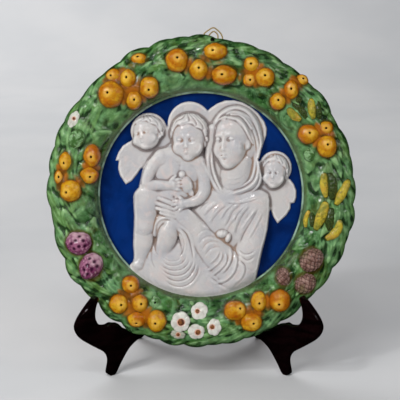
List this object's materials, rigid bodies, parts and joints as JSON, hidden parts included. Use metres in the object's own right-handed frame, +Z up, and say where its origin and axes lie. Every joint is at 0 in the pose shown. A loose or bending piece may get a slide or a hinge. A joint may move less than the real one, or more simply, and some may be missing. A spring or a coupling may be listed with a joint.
{
  "type": "decorative wall plaque",
  "caption": "Round glazed ceramic wall plaque with a leaf-and-fruit ring round a white figure relief on a blue field, leaning on a slotted two-board plate stand.",
  "frame": {"origin": "on the surface under the feet, below the middle of the whole object's box", "axes": "+Z up, -Y out of the plaque's front, +X to the viewer's right"},
  "size_m": [0.2646, 0.1206, 0.2884],
  "materials": {
    "glaze": "gloss",
    "lacquer": "gloss",
    "cord": "matte"
  },
  "bodies": {
    "root": {"plaque": "glaze", "stand_left": "lacquer", "stand_right": "lacquer", "hanging_cord": "cord"}
  },
  "joints": []
}
